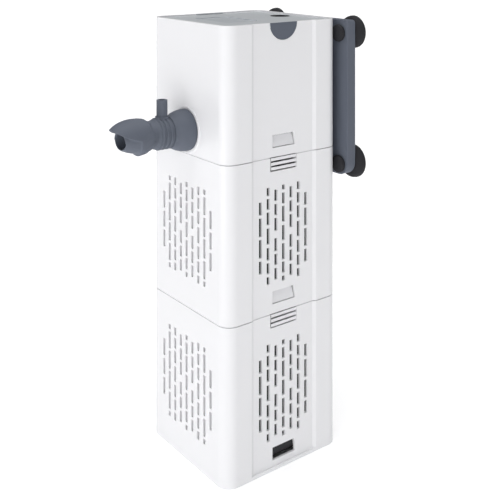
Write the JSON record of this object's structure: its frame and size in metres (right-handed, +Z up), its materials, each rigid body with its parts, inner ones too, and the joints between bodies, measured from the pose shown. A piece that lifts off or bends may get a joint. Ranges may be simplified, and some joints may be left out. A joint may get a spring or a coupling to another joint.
{
  "type": "internal power filter",
  "caption": "Upright submersible aquarium filter: stacked slotted filter boxes, pump head, swivelling outlet nozzle and suction-cup hanging bracket.",
  "frame": {"origin": "centre of the flat base of the column", "axes": "+Z up; -Y is the side with the outlet; +Y is the side with the hanging bracket; the latches are on +X and -X"},
  "size_m": [0.1084, 0.1692, 0.2918],
  "materials": {
    "shell_white": "satin moulded ABS",
    "cover_plastic": "satin light grey ABS",
    "inset_plastic": "satin light grey ABS",
    "slate_plastic": "satin slate-grey ABS",
    "black_rubber": "smooth black PVC rubber",
    "filter_sponge": "open-cell black foam",
    "core_plastic": "matte grey PP",
    "motor_plastic": "matte black, epoxy filled",
    "core_steel": "stacked laminations",
    "copper_wire": "enamelled copper winding",
    "screw_steel": "stainless",
    "spring_steel": "stainless wire",
    "shaft_ceramic": "polished ceramic",
    "magnet_ferrite": "ferrite",
    "impeller_plastic": "white POM"
  },
  "bodies": {
    "lower_box": {"lower_shell": "shell_white", "lower_sponge": "filter_sponge", "lower_core_tube": "core_plastic"},
    "upper_box": {"upper_shell": "shell_white", "upper_sponge": "filter_sponge", "upper_core_tube": "core_plastic"},
    "head": {"head_casing": "shell_white", "intake_strainer": "core_plastic", "intake_cover": "slate_plastic", "pump_chamber": "slate_plastic", "chamber_seal": "black_rubber", "motor_housing": "motor_plastic", "stator_core": "core_steel", "stator_coils": "copper_wire", "motor_lid": "motor_plastic", "motor_screws": "screw_steel", "rotor_shaft": "shaft_ceramic", "shaft_mount_bottom": "black_rubber", "shaft_mount_top": "black_rubber", "button_spring_right": "spring_steel", "button_spring_left": "spring_steel", "outlet_collar": "slate_plastic", "outlet_seal": "black_rubber"},
    "rotor": {"rotor_magnet": "magnet_ferrite", "impeller": "impeller_plastic"},
    "cover": {"top_cover": "cover_plastic", "cover_inset": "inset_plastic", "cable_gland": "black_rubber"},
    "right_button": {"side_button_right": "slate_plastic"},
    "left_button": {"side_button_left": "slate_plastic"},
    "lower_right_latch": {"lower_latch_right": "shell_white"},
    "lower_left_latch": {"lower_latch_left": "shell_white"},
    "upper_right_latch": {"upper_latch_right": "shell_white"},
    "upper_left_latch": {"upper_latch_left": "shell_white"},
    "outlet_arm": {"outlet_barrel": "slate_plastic"},
    "nozzle": {"outlet_nozzle": "slate_plastic"},
    "bracket": {"hanger_plate": "slate_plastic", "suction_cup_top_right": "black_rubber", "suction_cup_top_left": "black_rubber", "suction_cup_bottom_right": "black_rubber", "suction_cup_bottom_left": "black_rubber"}
  },
  "joints": [
    {"name": "upper_box_lift", "type": "slide", "parent": "lower_box", "child": "upper_box", "axis": [0, 0, 1], "range_m": [0, 0.09]},
    {"name": "head_lift", "type": "slide", "parent": "upper_box", "child": "head", "axis": [0, 0, 1], "range_m": [0, 0.09]},
    {"name": "cover_lift", "type": "slide", "parent": "head", "child": "cover", "axis": [0, 0, 1], "range_m": [0, 0.06]},
    {"name": "bracket_slide", "type": "slide", "parent": "head", "child": "bracket", "axis": [0, 0, -1], "range_m": [0, 0.07]},
    {"name": "outlet_swivel", "type": "hinge", "parent": "head", "child": "outlet_arm", "pos_m": [0, -0.0575, 0.219], "axis": [0, -1, 0], "range_deg": [-90, 90]},
    {"name": "nozzle_turn", "type": "hinge", "parent": "outlet_arm", "child": "nozzle", "pos_m": [0, -0.0815, 0.219], "axis": [0, -1, 0], "range_deg": [-180, 180]},
    {"name": "rotor_spin", "type": "hinge", "parent": "head", "child": "rotor", "pos_m": [0, 0, 0.24], "axis": [0, 0, 1], "continuous": true},
    {"name": "lower_right_latch_press", "type": "slide", "parent": "lower_box", "child": "lower_right_latch", "axis": [-1, 0, 0], "range_m": [0, 0.0024], "stiffness_N_per_m": 1500},
    {"name": "lower_left_latch_press", "type": "slide", "parent": "lower_box", "child": "lower_left_latch", "axis": [1, 0, 0], "range_m": [0, 0.0024], "stiffness_N_per_m": 1500},
    {"name": "upper_right_latch_press", "type": "slide", "parent": "upper_box", "child": "upper_right_latch", "axis": [-1, 0, 0], "range_m": [0, 0.0024], "stiffness_N_per_m": 1500},
    {"name": "upper_left_latch_press", "type": "slide", "parent": "upper_box", "child": "upper_left_latch", "axis": [1, 0, 0], "range_m": [0, 0.0024], "stiffness_N_per_m": 1500},
    {"name": "right_button_press", "type": "slide", "parent": "head", "child": "right_button", "axis": [-1, 0, 0], "range_m": [0, 0.0024], "stiffness_N_per_m": 800, "deforming": ["button_spring_right"]},
    {"name": "left_button_press", "type": "slide", "parent": "head", "child": "left_button", "axis": [1, 0, 0], "range_m": [0, 0.0024], "stiffness_N_per_m": 800, "deforming": ["button_spring_left"]}
  ]
}
